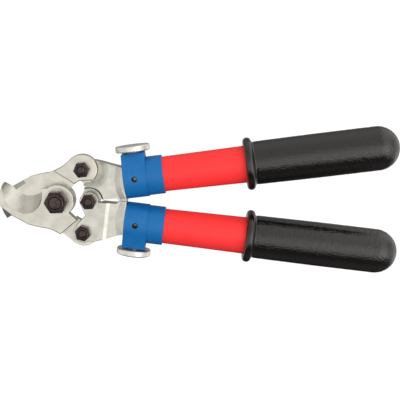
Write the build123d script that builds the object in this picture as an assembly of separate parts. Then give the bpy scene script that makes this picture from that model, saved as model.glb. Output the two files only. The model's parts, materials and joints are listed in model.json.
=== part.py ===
"""Compound-lever cable cutter with two clamped-on insulated handles, closed.

The drawing frame has the main pivot at the origin, the jaws towards -X, the
handles towards +X and the nuts facing +Z. The plane z = 0 is where the two
blades slide on each other. Both blades are one forging, and both levers are
another: the upper copy is the lower one turned half a turn about X. At the end
everything is shifted so that the origin is under the middle of the whole tool.
"""
from build123d import *
import os
from math import cos, radians, sin, sqrt

# Head: pivot places, in the closed tool
LAYER = 9.0                      # thickness of one forged plate
LINK_X, LINK_Y = 23.5, 29.5      # link pivots, above and below the tool's axis
CENTRE_X = 29.2                  # lever pivot, on the tool's axis
FIT = 0.05                       # radial clearance of a running fit
MOVING_GAP = 0.3                 # gap between parts on different bodies
EDGE_ROUND = 0.6                 # rounding of the levers' outer edges
BLADE_ROUND = 0.9                # rounding of the blades' outer edges

# Blades
BLADE_HUB_R = 15.4
BLADE_EAR_R = 14.0
THROAT_EDGE_CENTRE, THROAT_EDGE_R = (-26.3, 22.5), 18.2
THROAT_FACE_CENTRE, THROAT_FACE_RADII = (-32.4, 10.2), (17.9, 22.4)
THROAT_TURN = 23.0               # turn of the bevel's outer ellipse, degrees

# Levers
LEVER_HUB_R = 8.6
LEVER_EAR_R = 9.3
HUB_POCKET_R = 11.4              # pocket that the other lever's hub turns in
HUB_DISH_R = (11.4, 13.6)        # floor and rim of the dish round that hub
EAR_POCKET_R = 14.5              # pocket that the blade's ear turns in
EAR_DISH_OFFSET = (7.0, 1.1)     # the pocket opens into a wider dish beside the link pivot
EAR_DISH_R = (8.0, 17.6)
DISH_FLOOR = 4.4                 # the dishes' depth is what is left from here to the waist
WAIST = 7.6                      # half thickness between the bend and the collar
COLLAR = 10.2                    # half thickness of the collar at the socket
BEND_START, BEND_END = -62.0, -57.2   # the plain side bends down to the waist here
SHOULDER_TAPER = -64.0           # slope of the collar's shoulder, degrees

# Bolts: shank radius, head width, head height, nut height, collar radius
M12 = dict(shank=6.0, flats=19.0, head=7.5, nut=12.0, hex=8.2, collar=8.1, ring=7.4)
M8 = dict(shank=4.0, flats=13.0, head=5.3, nut=8.0, hex=5.6, collar=5.7, ring=5.1)
NUT_TURNS = {"main": 2, "upper_link": 7, "centre": 3, "lower_link": -16}   # as tightened
MAIN_WASHER_R, MAIN_WASHER_T = 12.2, 2.0
LINK_WASHER_R, LINK_WASHER_T = 9.0, 1.6
LINKAGE_PLAY = 2.45              # play that the open link pivot needs

# Handles: stations along the handle's axis from its reference point, s
HANDLE_POINT = (104.1, 25.25)
HANDLE_ANGLE = 6.85
SOCKET_START, SOCKET_STEP, SOCKET_END = -42.5, -21.0, -5.7
SOCKET_FRONT_R, SOCKET_REAR_R = 18.9, 18.1
BOSS_TOP, BOSS_HALF_WIDTH = 23.0, 10.5
SHANK_R, SHANK_END, SHANK_FLAT = 10.0, 16.0, 9.2
KEYWAY_WIDTH, KEYWAY_DEPTH = 6.0, 2.0
PIN_R, PIN_WALL, PIN_S = 2.7, 0.8, -32.0
SCREW_S = -31.5
TUBE_START, TUBE_END, TUBE_INNER_R = -20.5, 198.0, 12.0
TUBE_FRONT_R, TUBE_REAR_R, TAPER_END = 16.3, 17.3, 70.0
GRIP_START, GRIP_STRAIGHT, GRIP_TIP = 70.4, 140.0, 214.4
FLANGE_R, FLANGE_END = 24.5, 77.8
GRIP_FRONT_R, GRIP_R = 20.15, 20.7

# Thumb screw, along the radial direction r
SCREW_R, SCREW_TIP_R, SCREW_TIP_DEPTH = 3.0, 1.5, 1.6
KNOB_R, KNOB_BOTTOM, KNOB_TOP = 15.9, 24.4, 30.2
PAD_R, PAD_BOTTOM, PAD_TOP = 4.0, 9.5, 12.5
BUSH_R, BUSH_BOTTOM = 6.0, 15.0

MAIN = (0.0, 0.0)
CENTRE = (CENTRE_X, 0.0)
UPPER_LINK = (LINK_X, LINK_Y)
LOWER_LINK = (LINK_X, -LINK_Y)
ABOUT_X = Rotation(180, 0, 0)


def at(point, z=0.0):
    """Place something over a plan point."""
    return Pos(point[0], point[1], z)


def rod(point, radius, z_low, z_high):
    """Round bar along Z over a plan point."""
    return at(point, z_low) * extrude(Circle(radius), z_high - z_low)


# ---------------------------------------------------------------- blades

def blade_plan():
    """Outline of the lower blade: hook, hub, neck and link ear."""
    tip, tip_inner = (-49.0, 17.6), (-41.4, 12.4)
    heel_top, heel_low, neck = (-52.8, -4.8), (-50.0, -7.4), (-42.4, -13.4)
    back = (-27.6, -21.5)
    waist, ear_low = (-9.0, -25.7), (12.0, -38.6)
    ear_corner, ear_inner = (17.2, -17.0), (20.6, -19.0)
    hub_low = (10.8, -11.0)
    ear_right = (LINK_X + sqrt(BLADE_EAR_R ** 2 - 9.9 ** 2), -LINK_Y + 9.9)
    ear_bottom = (LINK_X + 2.4, -LINK_Y - sqrt(BLADE_EAR_R ** 2 - 2.4 ** 2))
    ear_outer = (LINK_X + BLADE_EAR_R, -LINK_Y)
    hub_top = (-BLADE_HUB_R * cos(radians(52)), BLADE_HUB_R * sin(radians(52)))
    hub_right = (BLADE_HUB_R, 0.0)
    edges = [
        ThreePointArc(tip, (-53.7, 5.2), heel_top),
        Line(heel_top, heel_low),
        Line(heel_low, neck),
        Line(neck, back),
        ThreePointArc(back, (-18.4, -24.0), waist),
        ThreePointArc(waist, (1.4, -30.5), ear_low),
        ThreePointArc(ear_low, (18.0, -42.6), ear_bottom),
        ThreePointArc(ear_bottom, ear_outer, ear_right),
        Line(ear_right, ear_inner),
        Line(ear_inner, ear_corner),
        Line(ear_corner, hub_low),
        ThreePointArc(hub_low, hub_right, hub_top),
        Line(hub_top, tip_inner),
        Line(tip_inner, tip),
    ]
    return make_face(edges)


def throat_cutter():
    """Ground bevel of the cutting edge: a cone from a circle to an ellipse."""
    over = 1.0 / LAYER
    stations = []
    for z, share in ((-1.0, -over), (LAYER + 1.0, 1.0 + over)):
        x = THROAT_EDGE_CENTRE[0] + share * (THROAT_FACE_CENTRE[0] - THROAT_EDGE_CENTRE[0])
        y = THROAT_EDGE_CENTRE[1] + share * (THROAT_FACE_CENTRE[1] - THROAT_EDGE_CENTRE[1])
        short = THROAT_EDGE_R + share * (THROAT_FACE_RADII[0] - THROAT_EDGE_R)
        long = THROAT_EDGE_R + share * (THROAT_FACE_RADII[1] - THROAT_EDGE_R)
        stations.append(Pos(x, y, z) * Rot(0, 0, THROAT_TURN) * Ellipse(short, long))
    return loft(stations, ruled=True)


def wedge(start, end, width, depth):
    """Chamfer cutter above z = 0, on the right-hand side of the line from start to end."""
    direction = Vector(*end) - Vector(*start)
    plane = Plane(origin=(*start, 0), x_dir=direction.cross(Vector(0, 0, 1)), z_dir=direction)
    section = make_face(Polyline((0, 0.5), (0, 0), (width, -depth), (width, 0.5), close=True))
    return extrude(plane * section, direction.length)


def blade():
    """Lower blade: hook and hub above z = 0, link ear below it."""
    plan = blade_plan()
    jaw_end = make_face(Polyline((2.0, -31.3), (18.6, -17.3), (60, -10), (60, -60), (2.0, -60),
                                 close=True))
    ear_end = make_face(Polyline((-3.4, -28.6), (17.0, -15.5), (17.0, 40), (-80, 40), (-80, -60),
                                 (-3.4, -60), close=True))
    jaw = extrude(plan, LAYER) - extrude(jaw_end, LAYER)
    jaw = fillet(jaw.edges().group_by(Axis.Z)[-1], BLADE_ROUND)
    ear = extrude(plan, -LAYER) - extrude(ear_end, -LAYER)
    ear = fillet(ear.edges().group_by(Axis.Z)[0], BLADE_ROUND)
    body = jaw + ear - throat_cutter()
    body -= wedge((-42.8, -7.6), (-30.4, -15.9), 8.0, 6.4)
    body -= wedge((-43.2, 14.4), (-54.6, 7.0), 9.0, 3.6)
    body -= rod(MAIN, M12["shank"] + FIT, -1, LAYER + 1)
    return body


# ---------------------------------------------------------------- levers

def handle_place(side):
    """Frame of a handle: X along its axis, Y outwards, for side +1 or -1."""
    return Pos(HANDLE_POINT[0], side * HANDLE_POINT[1], 0) * Rot(0, 0, side * HANDLE_ANGLE)


def handle_point(s, r):
    """Plan point of the lower handle at station s and outward distance r."""
    along, across = cos(radians(HANDLE_ANGLE)), sin(radians(HANDLE_ANGLE))
    return (HANDLE_POINT[0] + s * along - r * across, -HANDLE_POINT[1] - s * across - r * along)


def lever_plan():
    """Outline of the lower lever from its hub and ear to its collar."""
    hub_left, notch = (21.0, -2.5), (25.6, -13.2)
    ear_left = (LINK_X - LEVER_EAR_R * cos(radians(36)), -LINK_Y + LEVER_EAR_R * sin(radians(36)))
    ear_far = (LINK_X - LEVER_EAR_R * cos(radians(50)), -LINK_Y - LEVER_EAR_R * sin(radians(50)))
    ear_right = (LINK_X + LEVER_EAR_R * cos(radians(60)), -LINK_Y - LEVER_EAR_R * sin(radians(60)))
    outer_start, outer_mid, outer_end = (33.4, -37.9), (40.0, -36.6), (49.0, -34.2)
    collar_outer = handle_point(SOCKET_START, 11.0)
    stop_y = -MOVING_GAP / 2
    axis_y = -HANDLE_POINT[1] - SOCKET_START * sin(radians(HANDLE_ANGLE))
    collar_inner = handle_point(SOCKET_START, (axis_y - stop_y) / cos(radians(HANDLE_ANGLE)))
    stop_left, slot_right = (57.6, stop_y), (54.6, -2.6)
    hub_top = (CENTRE_X, LEVER_HUB_R)
    hub_right = (CENTRE_X + sqrt(LEVER_HUB_R ** 2 - 1), -1.0)
    edges = [
        ThreePointArc(hub_right, hub_top, hub_left),
        Line(hub_left, notch),
        Line(notch, ear_left),
        ThreePointArc(ear_left, ear_far, ear_right),
        Line(ear_right, outer_start),
        ThreePointArc(outer_start, outer_mid, outer_end),
        Line(outer_end, collar_outer),
        Line(collar_outer, collar_inner),
        Line(collar_inner, stop_left),
        Line(stop_left, slot_right),
        Line(slot_right, hub_right),
    ]
    return make_face(edges)


def waist_cutter():
    """Cutter for the lever's thinner waist, up to the collar's curved shoulder."""
    far = 90.0
    shoulder = ThreePointArc((-48.5, -12), (-51.3, 3), (-48.5, 18))
    corner_low, corner_high = shoulder @ 0, shoulder @ 1
    edges = [
        shoulder,
        Line(corner_high, (corner_high.X, far)),
        Line((corner_high.X, far), (-120, far)),
        Line((-120, far), (-120, -far)),
        Line((-120, -far), (corner_low.X, -far)),
        Line((corner_low.X, -far), corner_low),
    ]
    pocket = handle_place(-1) * Pos(0, 0, WAIST) * make_face(edges)
    return extrude(pocket, COLLAR - WAIST + 1.0, taper=SHOULDER_TAPER)


def bend():
    """Space above the plain side from where it bends down to the waist."""
    top = COLLAR + 2.0
    edges = [
        Spline((BEND_START, LAYER), (BEND_END, WAIST), tangents=((1, 0), (1, 0))),
        Line((BEND_END, WAIST), (0, WAIST)),
        Line((0, WAIST), (0, top)),
        Line((0, top), (BEND_START, top)),
        Line((BEND_START, top), (BEND_START, LAYER)),
    ]
    side = Plane.XZ * make_face(edges)
    return handle_place(-1) * extrude(side, 90, both=True)


def dish(point, radii):
    """Round dish with a flat floor and flared walls down to the waist's level."""
    floor, rim = radii
    depth = COLLAR + 1.0
    edges = [
        Line((0, -DISH_FLOOR), (floor, -DISH_FLOOR)),
        Spline((floor, -DISH_FLOOR), (rim, -WAIST), tangents=((1, -0.2), (1, -0.2))),
        Line((rim, -WAIST), (rim, -depth)),
        Line((rim, -depth), (0, -depth)),
        Line((0, -depth), (0, -DISH_FLOOR)),
    ]
    return at(point) * revolve(Plane.XZ * make_face(edges), Axis.Z)


def shank():
    """Round end of the lower lever that the socket slides on."""
    start = SOCKET_START - 4.0
    length = SHANK_END - start
    bar = Pos(start, 0, 0) * Rot(0, 90, 0) * extrude(Circle(SHANK_R), length)
    bar = chamfer(bar.edges().group_by(Axis.X)[-1], 1.2)
    inside = Pos(SOCKET_START + 50, 0, 0)
    bar -= inside * Pos(0, SHANK_FLAT + 5, 0) * Box(100, 10, 30)
    for side in (1, -1):
        bar -= inside * Pos(0, 0, side * SHANK_R) * Box(100, KEYWAY_WIDTH, 2 * KEYWAY_DEPTH)
    return handle_place(-1) * mirror(bar, about=Plane.XZ)


def lever(play):
    """Lower lever: hub and link ear above z = 0, with this much extra room for the blade's ear."""
    plan = lever_plan()
    collar_area = handle_place(-1) * Pos(SOCKET_START - 6, 0) * Rectangle(12, 80)
    upper = extrude(plan, LAYER)
    upper = fillet(upper.edges().group_by(Axis.Z)[-1], EDGE_ROUND)
    lower = extrude(plan, -LAYER)
    lower -= rod(LOWER_LINK, EAR_POCKET_R + play, -LAYER - 1, 0)
    lower -= dish((LINK_X + EAR_DISH_OFFSET[0], -LINK_Y + EAR_DISH_OFFSET[1]), EAR_DISH_R)
    lower -= rod(CENTRE, HUB_POCKET_R, -LAYER - 1, 0) + dish(CENTRE, HUB_DISH_R)
    collar = extrude(plan & collar_area, COLLAR, both=True)
    body = upper + lower + collar
    body -= waist_cutter() & bend()
    body -= mirror(waist_cutter(), about=Plane.XY)
    body += shank()
    body -= rod(LOWER_LINK, M8["shank"] + FIT, -1, LAYER + 1)
    body -= rod(CENTRE, M8["shank"] + FIT, -1, LAYER + 1)
    return body


# ---------------------------------------------------------------- bolts

def hexagon(flats, height, turn=0.0):
    """Hexagonal prism on z = 0 with its corners turned off at both ends."""
    prism = extrude(RegularPolygon(flats / 2, 6, major_radius=False, rotation=turn), height)
    corner = flats / sqrt(3)
    drop = (corner - 0.47 * flats) * 0.58
    turned = Cylinder(corner + 0.01, height, align=(Align.CENTER, Align.CENTER, Align.MIN))
    turned = chamfer(turned.edges().filter_by(GeomType.CIRCLE), drop, drop / 0.58)
    return prism & turned


def bolt(size, point, head_top, tip):
    """Hex bolt with its head below, from the head's bearing face to its tip."""
    head = Pos(0, 0, -size["head"]) * hexagon(size["flats"], size["head"])
    shank_bar = extrude(Circle(size["shank"]), tip - head_top)
    shank_bar = chamfer(shank_bar.edges().group_by(Axis.Z)[-1], 0.8)
    return at(point, head_top) * (head + shank_bar)


def nut(size, point, seat, turn):
    """Lock nut: hexagon with a turned collar that holds the nylon ring."""
    collar = extrude(Circle(size["collar"]), size["nut"])
    collar = fillet(collar.edges().group_by(Axis.Z)[-1], 1.2)
    body = hexagon(size["flats"], size["hex"], turn) + collar
    body -= extrude(Circle(size["shank"] + FIT / 2), size["nut"] + 1)
    body -= Pos(0, 0, size["hex"]) * extrude(Circle(size["ring"] - 0.4), size["nut"])
    return at(point, seat) * body


def nut_ring(size, point, seat):
    """Nylon ring in the collar of a lock nut."""
    ring_height = size["nut"] - size["hex"] - 0.9
    ring = extrude(Circle(size["ring"] - 0.4) - Circle(size["shank"] + FIT / 2), ring_height)
    return at(point, seat + size["hex"]) * ring


def washer(point, inner, outer, bottom, thickness):
    """Flat washer with its lower face at bottom."""
    ring = extrude(Circle(outer) - Circle(inner), thickness)
    return at(point, bottom) * ring


# ---------------------------------------------------------------- handles

def turned(points):
    """Solid of revolution about the handle's axis from (s, radius) corners."""
    return revolve(make_face(Polyline(*points, close=True)), Axis.X)


def radial(s, radius, low, high):
    """Round bar along the outward direction of the handle at station s."""
    return Pos(s, low, 0) * Rot(-90, 0, 0) * extrude(Circle(radius), high - low)


def socket():
    """Socket that slides on the lever's shank and holds the tube."""
    front_length = SOCKET_STEP - SOCKET_START
    ring = Rot(0, 90, 0) * extrude(Circle(SOCKET_FRONT_R), front_length)
    boss = Box(front_length, BOSS_TOP, 2 * BOSS_HALF_WIDTH,
               align=(Align.MIN, Align.MIN, Align.CENTER))
    side = make_face(Polyline((BOSS_TOP, BOSS_HALF_WIDTH), (BOSS_TOP, -BOSS_HALF_WIDTH),
                              (8.6, -16.83), (8.6, 16.83), close=True))
    flank = extrude(Plane.YZ * side, front_length)
    front = Pos(SOCKET_START, 0, 0) * (ring + boss + flank)
    front = fillet(front.edges().group_by(Axis.X)[0], 0.8)
    rear = turned([(SOCKET_STEP - 1, 0), (SOCKET_STEP - 1, SOCKET_REAR_R),
                   (SOCKET_END - 0.7, SOCKET_REAR_R), (SOCKET_END, SOCKET_REAR_R - 0.7),
                   (SOCKET_END, 0)])
    body = front + rear
    bore = SHANK_R + FIT
    body -= turned([(SOCKET_START - 1, 0), (SOCKET_START - 1, bore), (TUBE_START, bore),
                    (TUBE_START, TUBE_FRONT_R), (SOCKET_END + 1, TUBE_FRONT_R), (SOCKET_END + 1, 0)])
    body -= radial(SCREW_S, PAD_R + MOVING_GAP, 0, BOSS_TOP + 1)
    body -= radial(SCREW_S, BUSH_R, BUSH_BOTTOM, BOSS_TOP + 1)
    body -= Pos(PIN_S, 0, 0) * extrude(Circle(PIN_R), 30)
    return body


def thread_bush():
    """Metal bush in the boss, with the thumb screw's thread."""
    return radial(SCREW_S, BUSH_R, BUSH_BOTTOM, BOSS_TOP) - radial(SCREW_S, SCREW_R + FIT, 0, 40)


def spring_pin():
    """Slotted pin through the socket's wall into the shank's keyway."""
    low = SHANK_R - KEYWAY_DEPTH + 0.4
    pin = extrude(Circle(PIN_R) - Circle(PIN_R - PIN_WALL), SOCKET_FRONT_R - 1.0 - low)
    pin -= Pos(5, 0, 10) * Box(10, 0.9, 40)
    return Pos(PIN_S, 0, low) * pin


def pressure_pad():
    """Pad at the tip of the thumb screw, against the shank's flat."""
    pad = radial(SCREW_S, PAD_R, PAD_BOTTOM, PAD_TOP)
    return pad - radial(SCREW_S, SCREW_TIP_R + FIT, PAD_TOP - SCREW_TIP_DEPTH, PAD_TOP + 1)


def thumb_screw():
    """Screw with a coin-shaped knob."""
    tip = radial(SCREW_S, SCREW_TIP_R, PAD_TOP - SCREW_TIP_DEPTH + MOVING_GAP, KNOB_BOTTOM)
    stem = radial(SCREW_S, SCREW_R, PAD_TOP + MOVING_GAP, KNOB_BOTTOM + 1)
    knob = radial(SCREW_S, KNOB_R, KNOB_BOTTOM, KNOB_TOP)
    knob = fillet(knob.edges().filter_by(GeomType.CIRCLE), 1.2)
    return tip + stem + knob


def tube():
    """Insulating tube from the socket into the grip."""
    return turned([(TUBE_START, TUBE_INNER_R), (TUBE_START, TUBE_FRONT_R),
                   (SOCKET_END, TUBE_FRONT_R), (TAPER_END, TUBE_REAR_R),
                   (TUBE_END, TUBE_REAR_R), (TUBE_END, TUBE_INNER_R)])


def grip():
    """Rubber grip: bead flange, groove, long body and round end."""
    end_centre = GRIP_TIP - GRIP_R
    end_mid = (end_centre + GRIP_R * sin(radians(45)), GRIP_R * cos(radians(45)))
    bead = (FLANGE_END - GRIP_START) / 2
    groove_end = FLANGE_END + 1.2
    edges = [
        Line((GRIP_START, TUBE_REAR_R), (GRIP_START, FLANGE_R - bead)),
        ThreePointArc((GRIP_START, FLANGE_R - bead), (GRIP_START + bead, FLANGE_R),
                      (FLANGE_END, FLANGE_R - bead)),
        Line((FLANGE_END, FLANGE_R - bead), (FLANGE_END, GRIP_FRONT_R - 0.5)),
        Line((FLANGE_END, GRIP_FRONT_R - 0.5), (groove_end, GRIP_FRONT_R - 0.5)),
        Line((groove_end, GRIP_FRONT_R - 0.5), (groove_end + 0.8, GRIP_FRONT_R)),
        Line((groove_end + 0.8, GRIP_FRONT_R), (GRIP_STRAIGHT, GRIP_R)),
        Line((GRIP_STRAIGHT, GRIP_R), (end_centre, GRIP_R)),
        ThreePointArc((end_centre, GRIP_R), end_mid, (GRIP_TIP, 0)),
        Line((GRIP_TIP, 0), (TUBE_END, 0)),
        Line((TUBE_END, 0), (TUBE_END, TUBE_REAR_R)),
        Line((TUBE_END, TUBE_REAR_R), (GRIP_START, TUBE_REAR_R)),
    ]
    return revolve(make_face(edges), Axis.X)


# ---------------------------------------------------------------- assembly

def fastener_set(name, size, point, seat, under):
    """Bolt, lock nut and nylon ring of one pivot, between its two seats."""
    tip = seat + size["nut"] - 0.6
    return {
        name + "_bolt": bolt(size, point, under, tip),
        name + "_nut": nut(size, point, seat, NUT_TURNS[name]),
        name + "_nut_ring": nut_ring(size, point, seat),
    }


def head_parts():
    """Blades, levers and the four bolted pivots."""
    lower_blade = blade()
    upper_blade = ABOUT_X * blade()
    play_hole = rod(LOWER_LINK, M8["shank"] + LINKAGE_PLAY + FIT, -LAYER - 1, 0)
    ear_hole = rod(LOWER_LINK, M8["shank"] + FIT, -LAYER - 1, 0)
    main_bore = M12["shank"] + FIT
    under = -LAYER - MAIN_WASHER_T
    parts = {
        "upper_blade": upper_blade - ABOUT_X * ear_hole,
        "lower_blade": lower_blade - play_hole,
        "upper_lever": ABOUT_X * lever(0.0),
        "lower_lever": lever(LINKAGE_PLAY),
        "main_head_washer": washer(MAIN, main_bore, MAIN_WASHER_R, under, MAIN_WASHER_T),
        "main_nut_washer": washer(MAIN, main_bore, MAIN_WASHER_R, LAYER, MAIN_WASHER_T),
    }
    parts |= fastener_set("main", M12, MAIN, LAYER + MAIN_WASHER_T, under)
    pivots = {"upper_link": UPPER_LINK, "lower_link": LOWER_LINK, "centre": CENTRE}
    under = -LAYER - LINK_WASHER_T
    for name, point in pivots.items():
        parts |= fastener_set(name, M8, point, LAYER, under)
        parts[name + "_washer"] = washer(point, M8["shank"] + FIT, LINK_WASHER_R, under, LINK_WASHER_T)
    return parts


def handle_parts():
    """Both handles, drawn about one axis and mirrored for the lower side."""
    makers = {
        "socket": socket,
        "thread_bush": thread_bush,
        "spring_pin": spring_pin,
        "pressure_pad": pressure_pad,
        "thumb_screw": thumb_screw,
        "tube": tube,
        "grip": grip,
    }
    parts = {}
    for name, make in makers.items():
        piece = make()
        parts["upper_" + name] = handle_place(1) * piece
        parts["lower_" + name] = handle_place(-1) * mirror(piece, about=Plane.XZ)
    return parts


def main():
    """Write one STEP file per node, with the origin under the tool's middle."""
    parts = head_parts() | handle_parts()
    boxes = [piece.bounding_box() for piece in parts.values()]
    x_middle = (min(box.min.X for box in boxes) + max(box.max.X for box in boxes)) / 2
    z_bottom = min(box.min.Z for box in boxes)
    shift = Pos(-x_middle, 0, -z_bottom)
    print("main pivot at", round(-x_middle, 3), round(-z_bottom, 3))
    os.makedirs("parts", exist_ok=True)
    for name, piece in parts.items():
        export_step(shift * piece, "parts/" + name + ".step")


main()
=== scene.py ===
"""Looks of a compound-lever cable cutter with insulated handles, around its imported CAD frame.

Everything is in metres in the frame's own axes: +X from the jaws to the grips, +Z from the
bolt heads to the nuts. A handle has stations s along its axis and distances r outwards.
"""
import json
import math

import bpy
import numpy as np
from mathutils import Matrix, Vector

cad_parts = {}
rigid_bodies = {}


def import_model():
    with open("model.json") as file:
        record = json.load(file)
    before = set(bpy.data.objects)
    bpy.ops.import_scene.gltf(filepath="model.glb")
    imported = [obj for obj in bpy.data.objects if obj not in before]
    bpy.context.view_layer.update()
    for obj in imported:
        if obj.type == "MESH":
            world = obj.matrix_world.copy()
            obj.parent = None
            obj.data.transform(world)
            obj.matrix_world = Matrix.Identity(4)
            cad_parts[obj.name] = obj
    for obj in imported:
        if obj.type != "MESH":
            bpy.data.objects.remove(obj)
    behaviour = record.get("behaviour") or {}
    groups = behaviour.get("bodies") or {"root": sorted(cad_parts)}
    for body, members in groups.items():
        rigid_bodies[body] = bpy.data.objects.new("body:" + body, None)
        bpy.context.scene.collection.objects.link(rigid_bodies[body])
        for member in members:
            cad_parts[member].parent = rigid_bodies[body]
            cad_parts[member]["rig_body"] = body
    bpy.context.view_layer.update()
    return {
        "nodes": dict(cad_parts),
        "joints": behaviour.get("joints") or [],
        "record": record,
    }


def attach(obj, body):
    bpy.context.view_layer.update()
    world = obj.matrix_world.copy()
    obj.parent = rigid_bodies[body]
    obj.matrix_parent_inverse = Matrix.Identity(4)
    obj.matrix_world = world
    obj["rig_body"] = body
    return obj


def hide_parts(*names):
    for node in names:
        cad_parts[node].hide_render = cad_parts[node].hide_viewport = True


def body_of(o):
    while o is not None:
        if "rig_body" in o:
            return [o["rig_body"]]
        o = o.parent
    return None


MM = 0.001
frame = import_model()
JOINTS = {joint["name"]: joint for joint in frame["joints"]}
ROWS = {row["node"]: row for row in frame["record"]["subparts"]}

# Handle stations, measured like the CAD model's
SCREW_S, SCREW_R = -31.5 * MM, 20.0 * MM
GRIP_START, FLANGE_END, GRIP_STRAIGHT, GRIP_TIP = 70.4 * MM, 77.8 * MM, 140.0 * MM, 214.4 * MM
FLANGE_R, GRIP_FRONT_R, GRIP_R = 24.5 * MM, 20.15 * MM, 20.7 * MM
NECK_R, BORE_R, BORE_END = 19.75 * MM, 17.35 * MM, 198.05 * MM

BORE_LEAD_IN, FACE_GAP = 0.3 * MM, 0.02 * MM
FLANGE_POINTS = 22
FLANGE_CROWN, FLANGE_SPREAD = 0.8, 0.999  # the bead's height and reach, of half its width
NECK_POINTS = 7
DOME_POINTS, DOME_END = 68, 0.985         # end: share of the quarter turn before the pole

# Moulded pebbles of the rubber: rings along the grip, points around it, and jittered cells
# whose pattern repeats after a grid of them
PEBBLE_START, PEBBLE_STEP, PEBBLE_AROUND = 79.8 * MM, 0.47 * MM, 270
PEBBLE_SIZE, PEBBLE_DEPTH, PEBBLE_FADE = 1.9 * MM, 0.26 * MM, 1.2 * MM
PEBBLE_SEED, CELL_GRID, CELL_JITTER = 7, 32, (0.1, 0.9)
VALLEY_WIDTH, VALLEY_POWER = 0.55, 1.5    # width: of a pebble, from its border inwards

# Bolts: the head's face is a share of its flats, and its chamfer climbs by a slope. Neck and
# thread length are shares of the shank's radius, and the thread's depth is one of its pitch,
# with some rings to each turn.
BOLT_AROUND, SHARP_EDGE = 72, math.radians(28)
HEAD_FACE, HEAD_SLOPE, HEAD_STEPS = 0.93, 0.577, 5
NECK_SHARE, THREAD_LENGTH, THREAD_DEPTH, THREAD_STEPS = 0.999, 3.0, 0.61, 8
FLANK_SLOPE, CREST_WIDTH = 1.3, 0.15
TIP_CHAMFER, TIP_DROP = 0.8 * MM, 0.2 * MM

# Camera and studio
VIEW_TARGET = Vector((0.46, 0.0, 24.5)) * MM
VIEW_DISTANCE = 0.8
VIEW_TILT = math.radians(8.4)
VIEW_LENS, VIEW_SENSOR = 77.0, 36.0
FLOOR_SIZE, FLOOR_GLOW = 40, 1.05
FILL_SIZE, FILL_HEIGHT, FILL_RADIANCE = 4, 1.6, 0.375

# Share of the room's light along each axis of a direction, as pairs of the direction's part
# on that axis, from -1 to 1, and the share
ROOM = {
    "X": ((-1.0, 0.85), (-0.55, 0.9), (-0.35, 1.18), (0.22, 1.2),
          (0.3, 1.8), (0.7, 1.9), (0.88, 1.0), (1.0, 0.8)),
    "Y": ((-1.0, 0.13), (-0.58, 0.13), (-0.34, 1.0), (0.12, 1.0),
          (0.36, 0.72), (0.75, 0.55), (1.0, 0.6)),
    "Z": ((-1.0, 0.35), (-0.8, 0.35), (-0.45, 1.0), (1.0, 1.0)),
}
ROOM_LIMIT = 3.0                 # a curve node runs from 0 to 1, so shares are divided by this


# ------------------------------------------------------------------ materials

class Finish:
    """A material around one Principled shader, with short calls that add its nodes."""

    def __init__(self, name, **uniform):
        self.material = bpy.data.materials.new(name)
        self.material.use_nodes = True
        self.tree = self.material.node_tree
        self.shader = self.tree.nodes["Principled BSDF"]
        for socket, value in uniform.items():
            self.shader.inputs[socket.replace("_", " ")].default_value = value
        self.place = self.add("TexCoord").outputs["Object"]

    def put(self, socket, value):
        """Link a socket or set its value."""
        if isinstance(value, bpy.types.NodeSocket):
            self.tree.links.new(value, socket)
        else:
            socket.default_value = value

    def add(self, kind, inputs=None, **settings):
        """A new node with these inputs and settings."""
        node = self.tree.nodes.new("ShaderNode" + kind)
        for name, value in settings.items():
            setattr(node, name, value)
        for name, value in (inputs or {}).items():
            self.put(node.inputs[name], value)
        return node

    def noise(self, size, detail=2.0, stretch=(1, 1, 1)):
        """Cloudy pattern with features of a size in metres, as a number from 0 to 1."""
        place = self.add("Mapping", {"Vector": self.place, "Scale": stretch}).outputs[0]
        inputs = {"Vector": place, "Scale": 1 / size, "Detail": detail}
        return self.add("TexNoise", inputs).outputs[0]

    def span(self, value, low, high, to_low, to_high):
        """Map low..high to to_low..to_high, held at the ends."""
        inputs = {"Value": value, "From Min": low, "From Max": high,
                  "To Min": to_low, "To Max": to_high}
        return self.add("MapRange", inputs).outputs[0]

    def maths(self, operation, first, second=0.0):
        """Result of a maths node on two sockets or numbers."""
        node = self.add("Math", operation=operation)
        self.put(node.inputs[0], first)
        self.put(node.inputs[1], second)
        return node.outputs[0]

    def blend(self, share, first, second):
        """Colour between first and second, the factor, A and B of a colour mix."""
        node = self.add("Mix", data_type="RGBA")
        for socket, value in ((0, share), (6, first), (7, second)):
            self.put(node.inputs[socket], value)
        return node.outputs[2]

    def drive(self, **sockets):
        """Feed the shader's sockets from nodes."""
        for name, value in sockets.items():
            self.put(self.shader.inputs[name.replace("_", " ")], value)

    def relief(self, *layers):
        """Bump layers, each a height pattern and its depth in metres."""
        under = None
        for height, depth in layers:
            inputs = {"Height": height, "Distance": depth}
            if under:
                inputs["Normal"] = under
            under = self.add("Bump", inputs).outputs[0]
        self.put(self.shader.inputs["Normal"], under)


def forged_steel(name, light, dark):
    """Blasted forging: mottled satin metal, smoother where it is ground to a slope."""
    paint = Finish(name, Metallic=1.0)
    cloud = paint.noise(9 * MM, 3.0)
    speck = paint.noise(1.1 * MM, 2.0)
    normal = paint.add("TexCoord").outputs["Normal"]
    slope = paint.add("SeparateXYZ", {"Vector": normal}).outputs["Z"]
    upright = paint.maths("ABSOLUTE", slope)
    off_side = paint.span(upright, 0.15, 0.3, 0, 1)
    off_face = paint.span(upright, 0.8, 0.97, 1, 0)
    ground = paint.maths("MULTIPLY", off_side, off_face)
    mixed = paint.maths("ADD", cloud, paint.maths("MULTIPLY", speck, 0.35))
    mottle = paint.span(mixed, 0.5, 0.85, 0, 1)
    rough = paint.span(speck, 0.3, 0.7, 0.3, 0.4)
    smoother = paint.maths("MULTIPLY", ground, 0.08)
    paint.drive(Base_Color=paint.blend(mottle, dark, light),
                Roughness=paint.maths("SUBTRACT", rough, smoother))
    paint.relief((cloud, 0.2 * MM), (speck, 0.005 * MM))
    return paint.material


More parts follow.
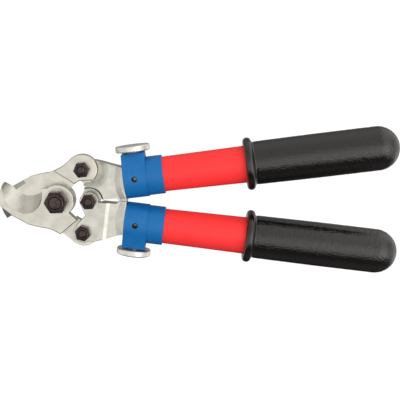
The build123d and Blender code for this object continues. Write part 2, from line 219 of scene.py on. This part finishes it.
def black_oxide():
    """Oiled black oxide on the bolts and nuts."""
    paint = Finish("black oxide", Metallic=0.85)
    speck = paint.noise(1.4 * MM, 3.0)
    share = paint.span(speck, 0.35, 0.65, 0, 1)
    paint.drive(Base_Color=paint.blend(share, (0.035, 0.024, 0.024, 1), (0.085, 0.06, 0.056, 1)),
                Roughness=paint.span(speck, 0.3, 0.7, 0.2, 0.34))
    paint.relief((speck, 0.05 * MM))
    return paint.material


def nylon():
    """Dark nylon of the lock nuts' rings, faintly mottled."""
    paint = Finish("nylon ring", Roughness=0.45)
    mottle = paint.noise(1.0 * MM)
    paint.drive(Base_Color=paint.blend(mottle, (0.008, 0.006, 0.008, 1), (0.02, 0.016, 0.018, 1)))
    return paint.material


def plated(name, light, dark, rough):
    """Smooth plated metal with faint clouding."""
    paint = Finish(name, Metallic=1.0)
    cloud = paint.noise(5 * MM, 2.0)
    fine = paint.noise(0.5 * MM, 2.0)
    paint.drive(Base_Color=paint.blend(paint.span(cloud, 0.35, 0.65, 0, 1), dark, light),
                Roughness=paint.span(fine, 0.3, 0.7, rough - 0.05, rough + 0.05))
    paint.relief((fine, 0.01 * MM))
    return paint.material


def blue_plastic():
    """Satin blue coating with a fine orange-peel surface."""
    paint = Finish("blue socket plastic", Specular_IOR_Level=0.25)
    cloud = paint.noise(12 * MM, 2.0)
    peel = paint.noise(0.7 * MM, 1.0)
    paint.drive(Base_Color=paint.blend(cloud, (0.004, 0.115, 0.35, 1), (0.008, 0.145, 0.40, 1)),
                Roughness=paint.span(peel, 0.3, 0.7, 0.36, 0.46))
    paint.relief((cloud, 0.05 * MM), (peel, 0.012 * MM))
    return paint.material


def red_tube():
    """Satin red glass-fibre tube with faint lengthwise filaments."""
    paint = Finish("red tube", Specular_IOR_Level=0.2)
    strands = paint.noise(0.9 * MM, 3.0, stretch=(0.05, 1, 1))
    cloud = paint.noise(14 * MM, 2.0)
    paint.drive(Base_Color=paint.blend(cloud, (0.92, 0.034, 0.036, 1), (0.96, 0.042, 0.044, 1)),
                Roughness=paint.span(strands, 0.3, 0.7, 0.42, 0.5))
    paint.relief((strands, 0.01 * MM), (cloud, 0.05 * MM))
    return paint.material


def grip_rubber():
    """Glossy black rubber with fine pores."""
    paint = Finish("black grip rubber", Specular_IOR_Level=0.72)
    pore = paint.noise(0.5 * MM, 2.0)
    cloud = paint.noise(10 * MM, 2.0)
    paint.drive(Base_Color=paint.blend(cloud, (0.0025, 0.0012, 0.0012, 1), (0.0045, 0.0025, 0.0025, 1)),
                Roughness=paint.span(pore, 0.3, 0.7, 0.16, 0.24))
    paint.relief((pore, 0.004 * MM))
    return paint.material


# Material of each slot in the record, metals with their light and dark tones
MATERIALS = {
    "blade_steel": forged_steel("forged blade steel", (0.66, 0.635, 0.575, 1), (0.55, 0.525, 0.47, 1)),
    "lever_steel": forged_steel("forged lever steel", (0.64, 0.62, 0.57, 1), (0.50, 0.49, 0.44, 1)),
    "black_fasteners": black_oxide(),
    "nylon_ring": nylon(),
    "washer_steel": plated("zinc washer", (0.62, 0.60, 0.56, 1), (0.50, 0.48, 0.45, 1), 0.35),
    "blue_socket": blue_plastic(),
    "brass_bush": plated("machined brass", (0.72, 0.55, 0.28, 1), (0.58, 0.42, 0.2, 1), 0.3),
    "spring_pin": plated("phosphated pin", (0.035, 0.032, 0.04, 1), (0.015, 0.014, 0.018, 1), 0.45),
    "nickel_knob": plated("nickel knob", (0.80, 0.78, 0.74, 1), (0.70, 0.68, 0.64, 1), 0.4),
    "red_tube": red_tube(),
    "black_grip": grip_rubber(),
}


def dress(piece, slot):
    """Give a piece its slot's material."""
    piece.data.materials.clear()
    piece.data.materials.append(MATERIALS[slot])


# ------------------------------------------------------------------ mesh code

def tube_mesh(name, rings, poles, sharp=None):
    """Closed mesh of rings (rings x around x 3) with a pole at each end.

    Edges that turn by more than sharp, in radians, are left crisp.
    """
    count, around, _ = rings.shape
    ring, step = np.meshgrid(np.arange(count - 1), np.arange(around), indexing="ij")
    after = (step + 1) % around
    corners = (ring * around + step, ring * around + after,
               (ring + 1) * around + after, (ring + 1) * around + step)
    faces = np.stack(corners, -1).reshape(-1, 4).tolist()
    vertices = rings.reshape(-1, 3).tolist() + [list(pole) for pole in poles]
    first, last = len(vertices) - 2, len(vertices) - 1
    top = (count - 1) * around
    for i in range(around):
        following = (i + 1) % around
        faces.append([first, following, i])
        faces.append([last, top + i, top + following])
    mesh = bpy.data.meshes.new(name)
    mesh.from_pydata(vertices, [], faces)
    mesh.shade_smooth()
    if sharp:
        mesh.set_sharp_from_angle(angle=sharp)
    piece = bpy.data.objects.new(name, mesh)
    bpy.context.scene.collection.objects.link(piece)
    return piece


def stand_in(piece, node):
    """Let a piece replace a CAD node, with the node's body and material."""
    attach(piece, body_of(frame["nodes"][node])[0])
    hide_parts(node)
    dress(piece, ROWS[node]["material_slot"])


def handle_axes(side):
    """Origin, axis, outward direction and third direction of a handle."""
    along = Vector(JOINTS[side + "_handle_slide"]["axis"]).normalized()
    outward = Vector(JOINTS[side + "_screw_turn"]["axis"]).normalized()
    origin = Vector(JOINTS[side + "_screw_turn"]["pos_m"]) - along * SCREW_S - outward * SCREW_R
    return origin, along, outward, along.cross(outward)


def cell_borders(points, size, seed):
    """How far inside its cell each point is, in cell sizes, for jittered cells in space."""
    draw = np.random.default_rng(seed)
    jitter = draw.uniform(*CELL_JITTER, (CELL_GRID, CELL_GRID, CELL_GRID, 3))
    scaled = points / size
    home = np.floor(scaled).astype(int)
    nearest = np.full(len(points), np.inf)
    second = nearest.copy()
    for i in (-1, 0, 1):
        for j in (-1, 0, 1):
            for k in (-1, 0, 1):
                cell = home + (i, j, k)
                wrapped = cell % CELL_GRID
                seeds = cell + jitter[wrapped[:, 0], wrapped[:, 1], wrapped[:, 2]]
                far = np.sqrt(((scaled - seeds) ** 2).sum(1))
                second = np.minimum(second, np.maximum(nearest, far))
                nearest = np.minimum(nearest, far)
    return second - nearest


def grip_outline():
    """Stations and radii along the grip: bore, front face, flange bead, neck, body, dome."""
    bead = (FLANGE_END - GRIP_START) / 2
    turn = np.linspace(0, math.pi, FLANGE_POINTS)
    flange_s = GRIP_START + bead - bead * np.cos(turn) * FLANGE_SPREAD
    flange_r = FLANGE_R - bead * FLANGE_CROWN * (1 - np.sin(turn))
    neck_s = np.linspace(FLANGE_END, PEBBLE_START, NECK_POINTS)[1:-1]
    share = (neck_s - FLANGE_END) / (PEBBLE_START - FLANGE_END)
    neck_r = NECK_R + (flange_r[-1] - NECK_R) * (1 - share) ** 2
    body_s = np.arange(PEBBLE_START, GRIP_TIP - GRIP_R, PEBBLE_STEP)
    widening = np.minimum(1, (body_s - FLANGE_END) / (GRIP_STRAIGHT - FLANGE_END))
    body_r = GRIP_FRONT_R + (GRIP_R - GRIP_FRONT_R) * widening
    body_r[:3] = np.linspace(NECK_R, body_r[3], 4)[:3]     # short rise out of the neck
    dome = np.linspace(0, math.pi / 2 * DOME_END, DOME_POINTS)
    dome_s = GRIP_TIP - GRIP_R + GRIP_R * np.sin(dome)
    dome_r = GRIP_R * np.cos(dome)
    bore_s = [BORE_END, GRIP_START + BORE_LEAD_IN, GRIP_START + FACE_GAP]
    bore_r = [BORE_R, BORE_R, BORE_R + BORE_LEAD_IN]
    return (np.concatenate([bore_s, flange_s, neck_s, body_s, dome_s]),
            np.concatenate([bore_r, flange_r, neck_r, body_r, dome_r]))


def grip_skin(side):
    """Rubber grip with a moulded pebble texture behind its flange."""
    stations, radii = grip_outline()
    angle = np.linspace(0, 2 * math.pi, PEBBLE_AROUND, endpoint=False)
    s, turn = np.meshgrid(stations, angle, indexing="ij")
    r = np.repeat(radii[:, None], PEBBLE_AROUND, 1)
    place = np.stack([s, r * np.cos(turn), r * np.sin(turn)], -1).reshape(-1, 3)
    border = cell_borders(place, PEBBLE_SIZE, PEBBLE_SEED).reshape(s.shape)
    valley = np.clip(1 - border / VALLEY_WIDTH, 0, 1) ** VALLEY_POWER
    fade = np.clip((s - PEBBLE_START) / PEBBLE_FADE, 0, 1)
    centre = GRIP_TIP - GRIP_R
    shrink = 1 - PEBBLE_DEPTH * valley * fade / np.where(s > centre, GRIP_R, r)
    r = r * shrink
    s = np.where(s > centre, centre + (s - centre) * shrink, s)
    origin, along, outward, third = (np.array(v) for v in handle_axes(side))
    rings = origin + s[..., None] * along + (r * np.cos(turn))[..., None] * outward
    rings = rings + (r * np.sin(turn))[..., None] * third
    poles = (origin + BORE_END * along, origin + (GRIP_TIP - PEBBLE_DEPTH / 2) * along)
    stand_in(tube_mesh(side + "_grip_skin", rings, poles), side + "_grip")


def threaded_bolt(name, flats, head, shank, pitch):
    """Hex bolt in place of a plain one: chamfered head, then a thread to the tip."""
    node = frame["nodes"][name]
    points = np.array([node.matrix_world @ vertex.co for vertex in node.data.vertices])
    centre_x, centre_y, _ = (points.min(0) + points.max(0)) / 2
    low, high = points[:, 2].min(), points[:, 2].max()
    turn = np.linspace(0, 2 * math.pi, BOLT_AROUND, endpoint=False)
    hexagon = flats / 2 / np.cos(turn % (math.pi / 3) - math.pi / 6)
    levels, rows = [], []

    def ring(level, radius):
        levels.append(level)
        rows.append(np.broadcast_to(radius, turn.shape))

    face, widest = flats / 2 * HEAD_FACE, flats / math.sqrt(3)
    for share in np.arange(HEAD_STEPS + 1) / HEAD_STEPS:
        rise = share * (widest - face)
        ring(low + rise * HEAD_SLOPE, np.minimum(face + rise, hexagon))
    ring(low + head, hexagon)
    ring(low + head, shank * NECK_SHARE)
    thread_low = high - THREAD_LENGTH * shank
    ring(thread_low, shank)
    depth, step = THREAD_DEPTH * pitch, pitch / THREAD_STEPS
    for level in np.arange(thread_low + step, high, step):
        wave = np.abs(((level / pitch - turn / (2 * math.pi)) % 1) * 2 - 1)
        fade = min(1, (level - thread_low) / pitch)
        groove = depth * fade * np.clip(wave * FLANK_SLOPE - CREST_WIDTH, 0, 1)
        chamfer = max(0, level - (high - TIP_CHAMFER))
        ring(level, np.minimum(shank - groove, shank - chamfer))
    ring(high, shank - depth - TIP_DROP)
    radii = np.array(rows)
    heights = np.repeat(np.array(levels)[:, None], BOLT_AROUND, 1)
    rings = np.stack([centre_x + radii * np.cos(turn), centre_y + radii * np.sin(turn), heights], -1)
    poles = ((centre_x, centre_y, low), (centre_x, centre_y, high))
    stand_in(tube_mesh(name + "_threaded", rings, poles, sharp=SHARP_EDGE), name)


# ------------------------------------------------------------------ dressing

for node, row in ROWS.items():
    dress(frame["nodes"][node], row["material_slot"])
for side_name in ("upper", "lower"):
    grip_skin(side_name)
threaded_bolt("main_bolt", 19 * MM, 7.5 * MM, 6 * MM, 1.75 * MM)
for pivot in ("upper_link", "lower_link", "centre"):
    threaded_bolt(pivot + "_bolt", 13 * MM, 5.3 * MM, 4 * MM, 1.25 * MM)


# ------------------------------------------------------------------ studio

def fill_light():
    """Soft square panel overhead that lights matt surfaces and doesn't show in gloss."""
    lamp = bpy.data.lights.new("fill", "AREA")
    lamp.shape = "SQUARE"
    lamp.size = FILL_SIZE
    lamp.energy = FILL_RADIANCE * math.pi * FILL_SIZE ** 2
    holder = bpy.data.objects.new("fill", lamp)
    bpy.context.scene.collection.objects.link(holder)
    holder.location = (0, 0, FILL_HEIGHT)
    holder.visible_camera = False
    holder.visible_glossy = False


def white_floor():
    """Plain white floor that glows evenly and casts no light on the object."""
    bpy.ops.mesh.primitive_plane_add(size=FLOOR_SIZE, location=(0, 0, 0))
    floor = bpy.context.object
    floor.name = "floor"
    paper = Finish("floor paper", Roughness=1.0, Specular_IOR_Level=0.0)
    paper.shader.inputs["Base Color"].default_value = (0, 0, 0, 1)
    paper.shader.inputs["Emission Color"].default_value = (1, 1, 1, 1)
    paper.shader.inputs["Emission Strength"].default_value = FLOOR_GLOW
    floor.data.materials.append(paper.material)
    floor.visible_diffuse = False
    floor.visible_glossy = False


def surround():
    """Room light, the product of a share per axis.

    It is brightest high on the +X side, and dim towards -Y and below.
    """
    world = bpy.data.worlds.new("studio")
    world.use_nodes = True
    tree = world.node_tree
    background = tree.nodes["Background"]
    background.inputs["Color"].default_value = (1, 0.99, 0.965, 1)

    def arithmetic(operation, *values):
        """Result of a maths node on these sockets or numbers."""
        node = tree.nodes.new("ShaderNodeMath")
        node.operation = operation
        for socket, value in zip(node.inputs, values):
            if isinstance(value, bpy.types.NodeSocket):
                tree.links.new(value, socket)
            else:
                socket.default_value = value
        return node.outputs[0]

    split = tree.nodes.new("ShaderNodeSeparateXYZ")
    tree.links.new(tree.nodes.new("ShaderNodeTexCoord").outputs["Generated"], split.inputs[0])
    product = ROOM_LIMIT ** len(ROOM)
    for axis, stops in ROOM.items():
        curve = tree.nodes.new("ShaderNodeFloatCurve")
        share_of_width = arithmetic("MULTIPLY_ADD", split.outputs[axis], 0.5, 0.5)
        tree.links.new(share_of_width, curve.inputs["Value"])
        line = curve.mapping.curves[0]
        line.points[0].location = (0, stops[0][1] / ROOM_LIMIT)
        line.points[1].location = (1, stops[-1][1] / ROOM_LIMIT)
        for value, share in stops[1:-1]:
            line.points.new(0.5 + value / 2, share / ROOM_LIMIT)
        curve.mapping.update()
        product = arithmetic("MULTIPLY", product, curve.outputs[0])
    tree.links.new(product, background.inputs["Strength"])
    bpy.context.scene.world = world


def camera():
    """Camera nearly overhead, tilted to the upper handle's side."""
    lens = bpy.data.cameras.new("camera")
    lens.lens, lens.sensor_width = VIEW_LENS, VIEW_SENSOR
    holder = bpy.data.objects.new("camera", lens)
    bpy.context.scene.collection.objects.link(holder)
    back = Vector((0, math.sin(VIEW_TILT), math.cos(VIEW_TILT)))
    holder.location = VIEW_TARGET + back * VIEW_DISTANCE
    holder.rotation_euler = (-VIEW_TILT, 0, 0)
    bpy.context.scene.camera = holder


white_floor()
fill_light()
surround()
camera()
bpy.context.scene.view_settings.view_transform = "Standard"
